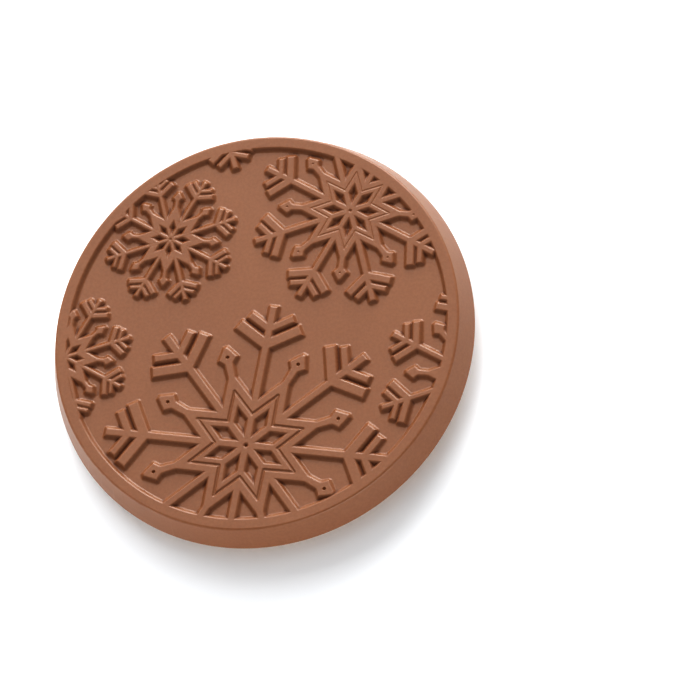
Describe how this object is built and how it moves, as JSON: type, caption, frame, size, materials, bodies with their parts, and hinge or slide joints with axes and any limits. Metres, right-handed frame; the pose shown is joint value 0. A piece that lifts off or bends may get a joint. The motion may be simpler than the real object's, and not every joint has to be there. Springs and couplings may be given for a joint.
{
  "type": "moulded chocolate disc with a golden biscuit set in its back",
  "caption": "Round milk chocolate disc moulded with snowflakes, with a ridged golden biscuit set into its back, lying face up.",
  "frame": {"origin": "centre of the bottom face, on the surface that the biscuit rests on", "axes": "+Z along the disc's axis, towards the snowflakes; +Y towards the two snowflakes that face each other across the top of the face, so the largest snowflake is on the -Y side"},
  "size_m": [0.0508, 0.0508, 0.0068],
  "materials": {
    "milk_chocolate": "satin milk chocolate, moulded",
    "golden_biscuit": "matt, baked pale gold"
  },
  "bodies": {
    "root": {"chocolate": "milk_chocolate", "biscuit": "golden_biscuit"}
  },
  "joints": []
}
